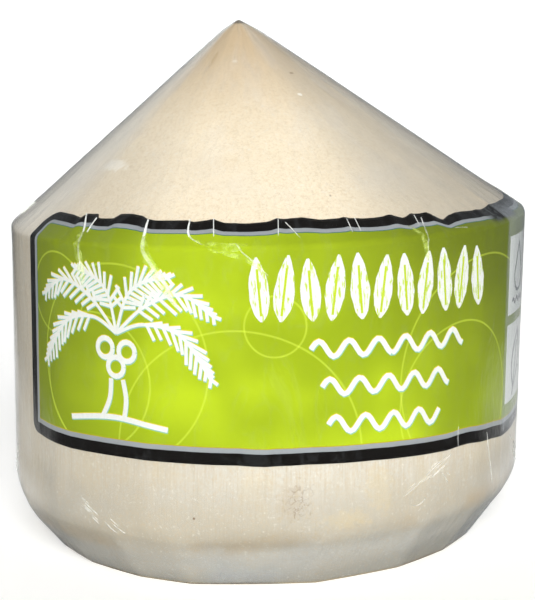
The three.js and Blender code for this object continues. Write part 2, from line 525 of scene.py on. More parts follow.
# A palm frond drawn in strokes: leaflets stand on both sides of the rib, longest in its middle
def frondTree():
    tree, given, out = newGroup(
        "drawn frond",
        {
            "Geometry": "Geometry",
            "Width": 1.0,
            "Step": 0.7,
            "Points Across": 3,
            "Leaflets": 9,
            "Leaflet Length": 6.0,
            "Spread": 0.9,
            "Droop": 0.4,
            "Bare Share": 0.25,
            "Seed": 1,
            "Material": "Material",
        },
        {"Geometry": "Geometry"},
        "GeometryNodeTree",
    )
    edges = addNode(tree, "GeometryNodeMeshToCurve", {"Mesh": given["Geometry"]}).outputs[0]
    rib = smoothed(tree, edges)
    inputs = {"Curve": rib, "Start": given["Bare Share"], "End": 1.0}
    leafy = addNode(tree, "GeometryNodeTrimCurve", inputs, mode="FACTOR").outputs[0]
    inputs = {"Curve": leafy, "Count": given["Leaflets"]}
    spaced = addNode(tree, "GeometryNodeResampleCurve", inputs, mode="COUNT").outputs[0]
    tangent = parts(tree, addNode(tree, "GeometryNodeInputTangent").outputs[0])
    heading = calc(tree, "ARCTAN2", tangent["Y"], tangent["X"])
    share = addNode(tree, "GeometryNodeSplineParameter").outputs["Factor"]
    growing = between(tree, share, 0.0, 0.4, 0.75, 1.0)
    swell = times(tree, growing, between(tree, share, 0.55, 1.0, 1.0, 0.45))
    inputs = {2: 0.85, 3: 1.12, "Seed": given["Seed"]}
    vary = addNode(tree, "FunctionNodeRandomValue", inputs, data_type="FLOAT").outputs[1]
    size = times(tree, times(tree, swell, vary), given["Leaflet Length"])
    inputs = {"Resolution": 6, "Start": (0, 0, 0), "Middle": (0.5, 0.0, 0), "End": (1, 0, 0)}
    leaflet = addNode(tree, "GeometryNodeCurveQuadraticBezier", inputs).outputs[0]
    sides = [rib]
    for side in (-1, 1):
        spread = plus(tree, heading, times(tree, given["Spread"], side))
        hanging = minus(tree, calc(tree, "SINE", spread), given["Droop"])
        angle = calc(tree, "ARCTAN2", hanging, calc(tree, "COSINE", spread))
        rotation = addNode(tree, "FunctionNodeEulerToRotation", {0: combined(tree, z=angle)}).outputs[0]
        inputs = {"Points": spaced, "Instance": leaflet, "Rotation": rotation, "Scale": size}
        placed = addNode(tree, "GeometryNodeInstanceOnPoints", inputs).outputs[0]
        sides.append(addNode(tree, "GeometryNodeRealizeInstances", {"Geometry": placed}).outputs[0])
    joined = tree.nodes.new("GeometryNodeJoinGeometry")
    for part in sides:
        tree.links.new(part, joined.inputs[0])
    tree.links.new(strokeMesh(tree, joined.outputs[0], given), out["Geometry"])
    return tree


flatStrokes = strokeTree()
drawnFrond = frondTree()


# Lines of points in a plane, in millimetres, as one mesh of edges. A third value is the half width's share.
def lineObject(name, lines):
    points, edges, halves = [], [], []
    for line in lines:
        start = len(points)
        for spot in line:
            points.append((spot[0], spot[1], 0.0))
            halves.append(spot[2] if len(spot) > 2 else 1.0)
        edges += [(index, index + 1) for index in range(start, len(points) - 1)]
    mesh = bpy.data.meshes.new(name)
    mesh.from_pydata(points, edges, [])
    setAttribute(mesh, "halfWidth", halves)
    piece = bpy.data.objects.new(name, mesh)
    scene.collection.objects.link(piece)
    return piece


# Runs a stroke tree on lines, thickens the flat result and bends it where the place function says
def strokesOn(name, lines, tree, inputs, place, levels):
    piece = lineObject(name, lines)
    addTree(piece, tree, inputs)
    wall = piece.modifiers.new("thickness", "SOLIDIFY")
    wall.thickness = 1.0
    wall.offset = 0.0
    made = plainMesh(piece, name)
    flat = np.zeros(len(made.data.vertices) * 3)
    made.data.vertices.foreach_get("co", flat)
    flat = flat.reshape(-1, 3)
    lift = np.interp(flat[:, 2], [-0.5, 0.5], levels)
    bent = place(flat[:, 0], flat[:, 1], lift)
    made.data.vertices.foreach_set("co", bent.astype(np.float32).ravel())
    made.data.set_sharp_from_angle(angle=math.radians(35))
    made.data.update()
    return made


def joinPieces(pieces, name):
    with bpy.context.temp_override(active_object=pieces[0], selected_editable_objects=pieces):
        bpy.ops.object.join()
    pieces[0].name = name
    pieces[0].data.name = name
    return pieces[0]


# The husk

husk = {
    "columns": 360,
    "rowSpacing": 1.25,
    "footSpacing": 6.0,
    "grainDepth": 0.035,
    "grainWidth": 1.5,
    "grainStretch": 12.0,
    "swellDepth": 0.1,
    "swellSize": 16.0,
    "seed": 4.0,
    "fibreWidth": 0.42,
    "fibreStretch": 18.0,
    "drumTone": colour(222, 217, 204),
    # Painted shade: a darker tone for the drum's left and lower part
    "drumShadeTone": colour(196, 188, 170),
    # Painted shade with a painted cool film sheen on the bevel, and darker painted shade at its rim by the
    # table
    "bevelShadeTone": colour(206, 204, 195),
    "groundShadeTone": colour(176, 174, 165),
    "coneTone": colour(252, 238, 211),
    # A darker tan towards the tip: partly the husk's own tone, partly painted shade
    "upperTanShadeTone": colour(204, 181, 146),
    # Painted shade for the cone's sides
    "coneShadeTone": colour(190, 182, 166),
    # Painted light: a near-white tone for the lower drum's sides and the cone's far left
    "sideLightTone": colour(250, 246, 236),
    "grainTone": colour(214, 190, 150),
    "threadTone": colour(205, 186, 150),
    "paleTone": colour(252, 247, 234),
    "warmTone": colour(222, 202, 154),
    "stainTone": colour(186, 158, 112),
    "scarTone": colour(120, 88, 58),
    "tipTone": colour(92, 84, 72),
    "footTone": colour(214, 198, 164),
    # Spots: angle, walked length, half width and height, raggedness, tone, share
    "marks": [
        (4.5, 76.1, 3.4, 5.0, 0.5, "stainTone", 0.22),
        (-14.8, 72.7, 0.35, 0.35, 0.1, "scarTone", 0.8),
        (23.2, 77.4, 3.4, 6.0, 0.6, "warmTone", 0.3),
        (16.5, 71.4, 6.0, 2.2, 0.7, "warmTone", 0.26),
        (68.3, 60.5, 3.0, 2.2, 0.5, "stainTone", 0.7),
        (-50.6, 155.4, 7.0, 2.2, 0.4, "paleTone", 0.7),
        (37.9, 186.8, 2.2, 0.5, 0.3, "scarTone", 0.5),
        (16.9, 145.3, 0.35, 0.4, 0.3, "scarTone", 0.5),
        (-34.0, 193.0, 3.2, 3.4, 0.4, "stainTone", 0.4),
        (-9.2, 192.1, 3.5, 0.6, 0.3, "paleTone", 0.3),
        (30.2, 179.1, 2.0, 0.6, 0.3, "paleTone", 0.9),
    ],
    "scar": (6.6, 76.2, 3.2, 4.6, 0.7),
    "creaseHeight": 12.6,
    "creaseTilt": 0.055,
    "bevelTilt": 0.045,
    # How far from its end the tip is dark, from where it starts to where it is full
    "tipReach": (2.0, 0.9),
}


# The upright drum and the bevel below it, their tones with painted shade and painted light
def drumTones(tree, wrapped, height, sandy):
    across = parts(tree, wrapped)["X"]
    inputs = {
        "Wrapped": wrapped,
        "Width": husk["fibreWidth"],
        "Stretch": husk["fibreStretch"],
        "Seed": husk["seed"],
    }
    fibre = placeGroup(tree, huskFibre, inputs)
    patches = noise(tree, vectorCalc(tree, "MULTIPLY", wrapped, (1.0, 1.0, 0.5)), 0.09, 4.0, 0.6, 15.0)
    lowDown = between(tree, height, 40.0, 14.0, 0.14, 0.5)
    tilted = minus(tree, height, times(tree, across, husk["bevelTilt"]))
    aside = between(tree, calc(tree, "ABSOLUTE", across), 45.0, 58.0)
    tone = layered(
        tree,
        husk["drumTone"],
        (between(tree, fibre["Threads"], 0.42, 0.66, 0.0, 0.42), husk["threadTone"]),
        (between(tree, fibre["Blotches"], 0.46, 0.7, 0.0, 0.2), husk["paleTone"]),
        (times(tree, between(tree, patches, 0.42, 0.66), lowDown), husk["warmTone"]),
        # Painted shade: the drum darker on its left and towards its foot
        (between(tree, across, 2.0, -24.0, 0.0, 0.42), husk["drumShadeTone"]),
        (between(tree, height, 30.0, 16.0, 0.0, 0.95), husk["drumShadeTone"]),
        # Painted shade and painted cool sheen on the bevel, darkest at its rim by the table
        (between(tree, tilted, 15.0, 8.0, 0.0, 0.9), husk["bevelShadeTone"]),
        (between(tree, tilted, 7.0, 1.0, 0.0, 0.9), husk["groundShadeTone"]),
        # Painted light: the drum's sides whitened low down
        (times(tree, aside, between(tree, height, 24.0, 15.0, 0.0, 0.85)), husk["sideLightTone"]),
        (between(tree, sandy, 0.46, 0.7, 0.0, 0.36), husk["grainTone"]),
        (between(tree, sandy, 0.42, 0.3, 0.0, 0.45), husk["paleTone"]),
    )
    return tone, fibre["Threads"]


# Painted shade greys the cone's sides, most so low down and on the right, and painted light whitens its far
# left
def coneTones(tree, wrapped, mottle, sandy):
    across, walked = (parts(tree, wrapped)[axis] for axis in "XZ")
    shadedSides = between(tree, calc(tree, "ABSOLUTE", across), 16.0, 44.0)
    lowCone = between(tree, walked, 190.0, 145.0, 0.0, 0.36)
    return layered(
        tree,
        husk["coneTone"],
        (times(tree, between(tree, mottle, 0.5, 0.75), 0.28), husk["threadTone"]),
        (times(tree, between(tree, mottle, 0.42, 0.3), 0.5), husk["paleTone"]),
        (between(tree, sandy, 0.46, 0.7, 0.0, 0.42), husk["grainTone"]),
        (between(tree, sandy, 0.42, 0.3, 0.0, 0.5), husk["paleTone"]),
        # A darker tan towards the tip: partly the husk's own tone, partly painted shade
        (between(tree, walked, 160.0, 204.0, 0.0, 0.9), husk["upperTanShadeTone"]),
        # Painted shade: the cone's right side and its lower sides greyer
        (between(tree, across, 14.0, 44.0, 0.0, 0.45), husk["coneShadeTone"]),
        (times(tree, shadedSides, lowCone), husk["coneShadeTone"]),
        # Painted light: the cone's far left whitened
        (between(tree, across, -44.0, -60.0, 0.0, 0.85), husk["sideLightTone"]),
    )


def spotAt(tree, wrapped, rough, angle, walked, halfWidth, halfHeight, ragged):
    inputs = {
        "Wrapped": wrapped,
        "Rough": rough,
        "Centre": wrappedAt(angle, walked).tolist(),
        "Half Width": halfWidth,
        "Half Height": halfHeight,
        "Raggedness": ragged,
    }
    return placeGroup(tree, spotMask, inputs)["Mask"]


# A tan line where the bevel meets the drum
def creaseMask(tree, wrapped):
    across, walked = (parts(tree, wrapped)[axis] for axis in "XZ")
    waver = times(tree, minus(tree, noise(tree, wrapped, 0.05, 3.0, 0.6, 3.0), 0.5), 7.0)
    line = plus(tree, times(tree, across, husk["creaseTilt"]), walkedAt(husk["creaseHeight"]))
    away = calc(tree, "ABSOLUTE", minus(tree, plus(tree, walked, waver), line))
    patchy = between(tree, noise(tree, wrapped, 0.08, 4.0, 0.6, 5.0), 0.36, 0.58)
    return times(tree, between(tree, away, 3.8, 0.2), patchy)


def huskMaterial():
    material, tree = newMaterial("pared husk")
    wrapped = attribute(tree, "wrapped")
    inMm = objectPlace(tree)
    height, walked = parts(tree, inMm)["Z"], parts(tree, wrapped)["Z"]
    mottle = noise(tree, inMm, 0.9, 5.0, 0.62, 7.0)
    clouds = noise(tree, inMm, 0.06, 3.0, 0.5, 9.0)
    sandy = noise(tree, inMm, 1.5, 3.0, 0.75, 31.0)
    rough = noise(tree, wrapped, 0.7, 4.0, 0.6, 2.0)
    drum, threads = drumTones(tree, wrapped, height, sandy)
    onCone = between(tree, height, 76.0, 79.0)
    tone = layered(
        tree,
        drum,
        (onCone, coneTones(tree, wrapped, mottle, sandy)),
        (between(tree, clouds, 0.5, 0.75, 0.0, 0.12), husk["threadTone"]),
        (between(tree, height, 0.9, 0.2), husk["footTone"]),
    )
    for *spot, over, share in husk["marks"]:
        tone = mixColour(tree, times(tree, spotAt(tree, wrapped, rough, *spot), share), tone, husk[over])

    # Fine cracks in the scar on the front
    bent = vectorCalc(tree, "ADD", wrapped, vectorCalc(tree, "SCALE", (4.0, 4.0, 4.0), scale=rough))
    inputs = {"Vector": bent, "Scale": 0.62}
    cracks = addNode(tree, "ShaderNodeTexVoronoi", inputs, feature="DISTANCE_TO_EDGE").outputs[0]
    cracks = times(tree, between(tree, cracks, 0.08, 0.01), spotAt(tree, wrapped, rough, *husk["scar"]))
    tipStart, tipFull = (outlineWalked[-1] - reach for reach in husk["tipReach"])
    tone = layered(
        tree,
        tone,
        (times(tree, cracks, 0.42), husk["scarTone"]),
        (times(tree, creaseMask(tree, wrapped), 0.3), husk["stainTone"]),
        (times(tree, between(tree, walked, tipStart, tipFull), 0.85), husk["tipTone"]),
    )

    threadHeight = times(tree, threads, minus(tree, 1.0, onCone))
    normal = bumped(tree, plus(tree, threadHeight, times(tree, mottle, 0.5)), 0.35, 0.25)
    dullness = between(tree, mottle, 0.3, 0.7, 0.52, 0.68)
    finishMaterial(tree, principled(tree, tone, dullness, {"Specular IOR Level": 0.25, "Normal": normal}))
    return material


# Angles of a closed round of columns, starting at the back
def roundAngles(columns):
    return -180 + 360 * np.arange(columns) / columns


# A closed body of revolution: rings of points, and a pole at each end where it reaches the axis
def makeHusk():
    rimAt = walkedAt(0.02)
    footRows = rowsBetween(4.0, rimAt, husk["footSpacing"])
    bodyRows = rowsBetween(rimAt, outlineWalked[-1] - 0.25, husk["rowSpacing"])[1:]
    rows = np.concatenate([footRows, bodyRows])
    angles = roundAngles(husk["columns"])
    angle, walked = np.meshgrid(angles, rows)
    # The foot stays flat on the table; the lift grows from its rim
    lift = np.interp(walked, [rimAt - 1.5, rimAt + 1.5], [0.0, lifts["husk"]])
    points = onFruit(angle.ravel(), walked.ravel(), lift.ravel())
    points[:, 2] = np.maximum(points[:, 2], 0)
    wrapped = wrappedAt(angle.ravel(), walked.ravel())
    tip = outlineWalked[-1]
    share = np.interp(walked.ravel(), [rimAt, rimAt + 4, tip - 5, tip], [0, 1, 1, 0.3])
    poles = onFruit([0.0, 0.0], [0.0, tip], [0.0, lifts["husk"]])
    columns = husk["columns"]
    faces = gridFaces(len(rows), columns, closed=True)
    footPole, tipPole = len(points), len(points) + 1
    top = (len(rows) - 1) * columns
    for column in range(columns):
        beside = (column + 1) % columns
        faces.append([footPole, beside, column])
        faces.append([top + column, top + beside, tipPole])
    piece = meshObject("huskBase", np.concatenate([points, poles]), faces)
    setAttribute(piece.data, "wrapped", np.concatenate([wrapped, [[0, 0, 0], [0, 0, tip]]]))
    setAttribute(piece.data, "reliefShare", np.concatenate([share, [0, 0]]))
    shoulder = walkedAt(rings[3]["height"])
    grain = np.interp(walked.ravel(), [rimAt, rimAt + 4, shoulder - 1, shoulder + 1], [0, 1, 1, 0.1])
    setAttribute(piece.data, "grainShare", np.concatenate([grain, [0, 0]]))
    return withRelief(piece, husk, huskMaterial(), "huskSkin")


print("husk")
huskSkin = makeHusk()
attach(huskSkin, "root")
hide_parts("coconut")


# The label

label = {
    "start": -60.4,
    "sweep": 260.0,
    "foot": 30.6,
    "width": 53.1,
    "corner": 5.0,
    "lowerCorner": 2.6,
    "fall": 0.029,
    "border": 2.6,
    "line": 1.05,
    "edge": 0.2,
    "columnSpacing": 0.85,
    "rowSpacing": 0.8,
    # How far the shrunk strip's edges stray from true: (angle, millimetres up)
    "lowerDrift": [
        (-60.0, 0.0), (-53.3, -0.64), (-45.1, -0.98), (-37.9, -0.69), (-28.3, -0.4), (-19.6, -0.32),
        (-11.2, -0.28), (-5.8, -0.18), (-3.1, -0.34), (-0.4, -0.39), (2.2, -0.17), (7.6, 0.02),
        (15.8, -0.17), (21.5, -0.16), (27.3, -0.35), (33.5, -0.66), (40.2, -0.87), (43.8, -0.6),
        (46.4, -0.6), (47.7, -0.71), (51.8, -1.24), (56.4, -1.6), (61.6, -2.32), (67.8, -1.93),
        (78, -0.6), (90, 0),
    ],
    "upperDrift": [
        (-60, -0.21), (-50, -0.34), (-46.2, -1.08), (-45.4, 0.33), (-42.0, 0.75), (-41.0, -0.67),
        (-36.5, -0.16), (-35.0, 1.24), (-31.5, 1.59), (-28.5, 1.23), (-27.0, 0.23), (-24.0, 0.12),
        (-17.2, 0.51), (-16.4, -0.11), (-11.6, 0.93), (-10.8, 0.59), (-9.0, -0.07), (-4.0, -0.24),
        (0.5, 0.31), (2.4, 1.15), (5.0, 1.07), (8.0, 1.47), (12.0, 0.57), (17.5, 0.86),
        (20.0, 0.34), (24.0, 0.39), (28.5, 0.82), (31.0, -0.36), (34.0, 0.64), (38.0, 0.31),
        (40.5, -2.21), (43.5, -0.99), (48.0, -0.41), (56.0, -0.96), (62.0, -0.18), (75, -0.16),
    ],
    "green": colour(197, 221, 38),
    "deepGreen": colour(160, 182, 30),
    "olive": colour(111, 124, 31),
    "black": colour(22, 20, 18),
    "grey": colour(160, 165, 168),
    "teal": colour(70, 118, 104),
    "yellow": colour(190, 172, 40),
    "crumpleGrey": colour(74, 77, 78),
    "ring": colour(226, 246, 84),
    "ringWidth": 0.3,
    "ringShare": 0.38,
    # Where each faint ring's middle is, and its radius
    "rings": [
        (24.0, 16.0, 15.0),
        (30.0, 20.0, 22.0),
        (12.0, 34.0, 9.0),
        (58.0, 2.0, 27.0),
        (66.0, 30.0, 6.5),
        (112.0, 10.0, 18.0),
        (120.0, 16.0, 26.0),
        (170.0, 26.0, 17.0),
        (240.0, 20.0, 21.0),
    ],
}
# Pleats at the shoulder: angle, half width in degrees, height
pleats = [
    (-45.4, 1.6, 0.35), (-41.0, 1.8, 0.3), (-33.0, 3.4, 0.3), (-26.5, 1.2, 0.35), (-16.5, 1.0, 0.3),
    (-11.2, 1.1, 0.35), (2.6, 1.2, 0.35), (5.6, 1.4, 0.25), (17.5, 1.3, 0.35), (20.2, 1.3, 0.25),
    (28.0, 1.6, 0.3), (33.5, 1.2, 0.35), (38.5, 2.4, 0.4), (46.0, 1.6, 0.3), (54.0, 1.6, 0.3),
    (61.0, 1.6, 0.4), (70.0, 2.0, 0.3), (86.0, 2.4, 0.35), (104.0, 2.0, 0.3), (121.0, 2.4, 0.35),
    (139.0, 2.0, 0.3), (158.0, 2.2, 0.3), (176.0, 2.0, 0.35), (-165.0, 2.4, 0.3), (-146.0, 2.0, 0.3),
    (-124.0, 2.4, 0.3), (-101.0, 2.2, 0.3), (-82.0, 2.0, 0.3), (-64.0, 2.0, 0.25),
]
degreeLength = math.radians(drumRadius)
labelLength = label["sweep"] * degreeLength
labelFootWalked = walkedAt(label["foot"])


def labelDrift(angle, side):
    angles, offsets = zip(*label[side])
    return np.interp(angle, angles, offsets)


# How far the skins stand up in the pleats that gather them over the shoulder
def pleatRise(angle, walked):
    angle, walked = np.broadcast_arrays(np.asarray(angle, float), np.asarray(walked, float))
    shoulder = walkedAt(rings[3]["height"])
    along = np.interp(walked, [shoulder - 6, shoulder, shoulder + 6, shoulder + 12], [0, 0.35, 1, 0])
    rise = np.zeros(angle.shape)
    for middle, half, height in pleats:
        across = (angle - middle) / half
        rise = np.maximum(rise, height * np.interp(across, [-1, -0.25, 1], [0, 1, 0]))
    return rise * along


# Where a point of the printed strip, measured along it and up it, lies on the fruit
def onLabel(along, up, lift):
    angle = label["start"] + np.asarray(along) / degreeLength
    fall = label["fall"] * drumRadius * np.sin(np.radians(angle))
    share = np.clip(np.asarray(up) / label["width"], 0, 1)
    rise = np.clip((share - 0.8) / 0.2, 0, 1)
    drift = labelDrift(angle, "lowerDrift") * (1 - share) ** 2
    drift = drift + labelDrift(angle, "upperDrift") * rise ** 1.5
    walked = labelFootWalked - fall + np.asarray(up) + drift
    return onFruit(angle, walked, lift + pleatRise(angle, walked))


# How far the rounded corners bring the strip's edges in at a length along it
def cornerInset(along, radius):
    fromEnd = np.minimum(along, labelLength - along) / radius
    across = 1 - np.clip(fromEnd, 0.0, 1)
    return radius * (1 - np.sqrt(np.clip(1 - across ** 2, 0, 1)))


# A print ring's line: 1 on the circle, 0 away from it
def ringGroup():
    tree, given, out = newGroup(
        "printed ring",
        {"Plane": "Vector", "Centre": "Vector", "Radius": 10.0, "Width": 0.3},
        {"Mask": "Float"},
    )
    away = vectorCalc(tree, "DISTANCE", given["Plane"], given["Centre"])
    offLine = calc(tree, "ABSOLUTE", minus(tree, away, given["Radius"]))
    tree.links.new(between(tree, offLine, given["Width"], times(tree, given["Width"], 0.4)), out["Mask"])
    return tree


printedRing = ringGroup()


# The distance in from the strip's rounded edge
def edgeDistance(tree, inMm):
    half = (labelLength / 2, label["width"] / 2, 0.0)
    up = parts(tree, inMm)["Y"]
    corner = between(tree, up, half[1] - 5.0, half[1] + 5.0, label["lowerCorner"], label["corner"])
    fromMiddle = vectorCalc(tree, "ABSOLUTE", vectorCalc(tree, "SUBTRACT", inMm, half))
    past = vectorCalc(tree, "SUBTRACT", fromMiddle, half)
    past = vectorCalc(tree, "ADD", past, combined(tree, corner, corner))
    flat = vectorCalc(tree, "MULTIPLY", past, (1.0, 1.0, 0.0))
    outside = vectorCalc(tree, "LENGTH", vectorCalc(tree, "MAXIMUM", flat))
    larger = calc(tree, "MAXIMUM", parts(tree, past)["X"], parts(tree, past)["Y"])
    return minus(tree, corner, plus(tree, outside, calc(tree, "MINIMUM", larger, 0.0)))


# Brightest in the middle, darker to the right, sooner at the top, and at its left end
def greenGround(tree, inMm, fine):
    along, up = (parts(tree, inMm)[axis] for axis in "XY")
    clouds = noise(tree, inMm, 0.035, 2.0, 0.5, 3.0)
    toRight = between(tree, plus(tree, along, times(tree, up, 0.75)), 88.0, 154.0)
    fromStart = minus(tree, along, times(tree, minus(tree, up, 20.0), 0.35))
    lowLeft = times(tree, between(tree, up, 16.0, 3.0), between(tree, along, 70.0, 40.0, 0.0, 0.9))
    tone = layered(
        tree,
        label["deepGreen"],
        (between(tree, clouds, 0.35, 0.7), label["green"]),
        (between(tree, up, 30.0, 48.0, 0.0, 0.45), label["deepGreen"]),
        (times(tree, toRight, between(tree, up, 6.0, 50.0, 0.65, 1.0)), label["olive"]),
        (lowLeft, label["deepGreen"]),
        (between(tree, fromStart, 42.0, -2.0, 0.0, 0.75), label["olive"]),
        (between(tree, fine, 0.45, 0.75, 0.0, 0.12), label["deepGreen"]),
    )
    for x, y, radius in label["rings"]:
        inputs = {"Plane": inMm, "Centre": (x, y, 0.0), "Radius": radius, "Width": label["ringWidth"]}
        mask = placeGroup(tree, printedRing, inputs)["Mask"]
        tone = mixColour(tree, times(tree, mask, label["ringShare"]), tone, label["ring"])
    return tone


def labelMaterial():
    material, tree = newMaterial("printed label")
    plane = addNode(tree, "ShaderNodeUVMap", uv_map="labelPlane").outputs[0]
    inMm = vectorCalc(tree, "SCALE", plane, scale=labelLength)
    along, up = (parts(tree, inMm)[axis] for axis in "XY")
    fine = noise(tree, inMm, 1.6, 4.0, 0.6, 5.0)
    waver = times(tree, minus(tree, noise(tree, inMm, 0.5, 3.0, 0.5, 8.0), 0.5), 0.12)
    edge = plus(tree, edgeDistance(tree, inMm), waver)
    lineStart = label["border"]
    lineEnd = lineStart + label["line"]
    fringeEnd = lineEnd + label["edge"]
    fringe = mixColour(tree, between(tree, up, 20.0, 30.0), label["yellow"], label["teal"])
    inside = between(tree, edge, fringeEnd, fringeEnd + 0.12)
    tone = mixColour(tree, inside, fringe, greenGround(tree, inMm, fine))
    tone = mixColour(tree, between(tree, edge, lineEnd, lineEnd + 0.1), label["grey"], tone)
    tone = mixColour(tree, between(tree, edge, lineStart, lineStart + 0.1), label["black"], tone)

    # The border's upper right end is crumpled, black and grey
    patches = between(tree, noise(tree, inMm, 0.7, 4.0, 0.65, 41.0), 0.46, 0.56)
    crumpled = mixColour(tree, patches, label["black"], label["crumpleGrey"])
    atCrumple = times(tree, between(tree, along, 122.0, 127.0), between(tree, up, 47.6, 48.8))
    tone = mixColour(tree, times(tree, atCrumple, between(tree, along, 142.0, 136.0)), tone, crumpled)

    normal = bumped(tree, noise(tree, inMm, 0.25, 3.0, 0.5, 6.0), 0.25, 0.4)
    gloss = {"Specular IOR Level": 0.06, "Normal": normal}
    finishMaterial(tree, principled(tree, tone, between(tree, fine, 0.3, 0.7, 0.36, 0.46), gloss))
    return material


# A closed thin sheet: the printed face, its back, and a wall round the edge
def makeLabel():
    ends = np.linspace(0, 90, 10)[1:]
    corner = label["corner"] * (1 - np.cos(np.radians(ends)))
    count = math.ceil(labelLength / label["columnSpacing"])
    middle = np.linspace(label["corner"], labelLength - label["corner"], count)
    left = np.concatenate([[0.04], corner[:-1]])
    columns = np.concatenate([left, middle, (labelLength - left)[::-1]])
    below = np.linspace(0, 0.82, math.ceil(0.82 * label["width"] / label["rowSpacing"]))
    rows = np.concatenate([below, np.linspace(0.82, 0.94, 26)[1:], np.linspace(0.94, 1, 5)[1:]])
    along, share = np.meshgrid(columns, rows)
    lowerInset, upperInset = cornerInset(along, label["lowerCorner"]), cornerInset(along, label["corner"])
    up = lowerInset + share * (label["width"] - lowerInset - upperInset)
    along, up = along.ravel(), up.ravel()
    front = onLabel(along, up, lifts["label"])
    back = onLabel(along, up, lifts["labelBack"])
    count, high, wide = len(front), len(rows), len(columns)
    faces = gridFaces(high, wide) + gridFaces(high, wide, first=count, inward=True)
    rim = list(range(wide - 1)) + [row * wide + wide - 1 for row in range(high - 1)]
    rim += [(high - 1) * wide + column for column in range(wide - 1, 0, -1)]
    rim += [row * wide for row in range(high - 1, 0, -1)]
    for here, there in zip(rim, rim[1:] + rim[:1]):
        faces.append([here + count, there + count, there, here])
    piece = meshObject("labelSheet", np.concatenate([front, back]), faces)
    layer = piece.data.uv_layers.new(name="labelPlane")
    flat = np.stack([along, up], axis=-1) / labelLength
    flat = np.concatenate([flat, flat])
    corners = np.zeros(len(piece.data.loops), np.int32)
    piece.data.loops.foreach_get("vertex_index", corners)
    layer.data.foreach_set("uv", flat[corners].astype(np.float32).ravel())
    piece.data.materials.append(labelMaterial())
    return piece


print("label")
labelSheet = makeLabel()
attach(labelSheet, "root")
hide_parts("label")


# The print in white ink: a line drawing of a palm, a row of brushed leaves, three wavy lines and two
# panels with simple signs. Places are along the label from its left end and up from its lower edge.

ink = {
    "thin": 1.15,
    "leafletWidth": 0.72,
    "step": 0.8,
    # How far off the husk each kind of stroke has its two faces
    "lifts": (0.915, 0.96),
    "underLifts": (0.9, 0.949),
    "warmLifts": (0.9, 0.94),
    "coolShift": (0.12, -0.24),
    "warmShift": (-0.04, 0.18),
    "signLifts": (0.965, 1.0),
    "panelLifts": (0.915, 0.98),
    "crown": (30.5, 27.0),
    "leafletLength": 4.5,
    "leaflets": 11,
    # Where each frond's rib passes and ends
    "fronds": [
        [(24.0, 30.0), (15.5, 28.0), (8.5, 19.0)],
        [(23.5, 34.0), (15.0, 37.3), (8.0, 33.5)],
        [(28.4, 35.0), (24.5, 38.6), (19.0, 40.0)],
        [(33.2, 35.0), (37.5, 38.6), (43.0, 39.8)],
        [(38.0, 33.5), (46.0, 36.3), (53.0, 32.0)],
        [(37.5, 29.5), (46.0, 27.5), (52.5, 18.5)],
    ],
    "nuts": [(27.4, 23.6), (33.2, 23.2), (30.3, 19.7)],
    "nutRadius": 2.1,
    "trunk": [
        [(29.0, 17.0), (28.6, 12.6), (26.4, 8.2)],
        [(32.2, 17.0), (33.0, 12.6), (32.4, 8.2)],
        [(17.0, 7.2), (30.0, 8.6), (43.0, 7.0)],
    ],
    "leafStart": 62.5,
    "leafPitch": 5.35,
    "leafCount": 11,
    "leafFoot": 31.0,
    "leafHeight": 14.2,
    "leafWidth": 4.3,
    "leafTilt": 0.1,
    "waves": [(73.5, 112.0, 25.0), (76.0, 108.0, 16.8), (77.5, 105.0, 8.6)],
    "waveLength": 6.6,
    "waveHeight": 1.7,
    "panels": [(131.8, 154.0, 26.4, 44.4), (131.8, 154.0, 6.6, 24.2)],
    "backPanel": (176.0, 262.0, 8.0, 45.0),
    "panelStep": 0.7,
    "signWidth": 0.75,
    "white": colour(240, 242, 236),
    "cool": colour(150, 204, 186),
    "warm": colour(232, 214, 52),
    "sign": colour(112, 115, 112),
}


def inkMaterial(name, tone, worn):
    material, tree = newMaterial(name)
    inMm = objectPlace(tree)
    grain = noise(tree, inMm, 1.8, 3.0, 0.6, 2.0)
    brushed = noise(tree, vectorCalc(tree, "MULTIPLY", inMm, (1.0, 1.0, 0.16)), 2.4, 2.0, 0.5, 4.0)
    missing = times(tree, between(tree, brushed, 0.66 - 0.1 * worn, 0.72 - 0.1 * worn), worn)
    greyed = between(tree, grain, 0.4, 0.8, 0.0, 0.12)
    shade = layered(tree, tone, (greyed, label["grey"]), (missing, label["green"]))
    dullness = between(tree, grain, 0.3, 0.7, 0.36, 0.46)
    finishMaterial(tree, principled(tree, shade, dullness, {"Specular IOR Level": 0.12}))
    return material


def circleLine(centre, radius):
    turns = np.linspace(0, 2 * math.pi, 21)
    return [(centre[0] + radius * math.cos(turn), centre[1] + radius * math.sin(turn)) for turn in turns]


def thinLines():
    lines = [circleLine(nut, ink["nutRadius"]) for nut in ink["nuts"]] + ink["trunk"]
    for start, end, middle in ink["waves"]:
        wave = []
        for x in np.arange(start, end, ink["waveLength"] / 8):
            turn = (x - start) * 2 * math.pi / ink["waveLength"]
            wave.append((x, middle + ink["waveHeight"] * math.sin(turn)))
        lines.append(wave)
    return lines


# Leaf-shaped brush marks side by side, leaning left and right in turn
def brushedLeaves():
    draw = random.Random(11)
    lines = []
    for index in range(ink["leafCount"]):
        foot = ink["leafStart"] + index * ink["leafPitch"]
        lean = ink["leafTilt"] * (1 if index % 2 else -1)
        tall = ink["leafHeight"] * draw.uniform(0.93, 1.0)
        line = []
        for share in np.linspace(0, 1, 12):
            swell = 0.12 + 0.88 * math.sin(math.pi * share ** 0.85) ** 0.8
            across = foot + lean * tall * (share - 0.5)
            line.append((across, ink["leafFoot"] + tall * share, swell * draw.uniform(0.92, 1.06)))
        lines.append(line)
    return lines


# Each leaf's rib, through three of its points
def leafVeins():
    return [[line[1][:2], line[6][:2], line[9][:2]] for line in brushedLeaves()]


# A panel as one wide upright stroke, and its width
def panelLine(panel):
    left, right, foot, top = panel
    middle = (left + right) / 2
    return [(middle, foot), (middle, top)], right - left


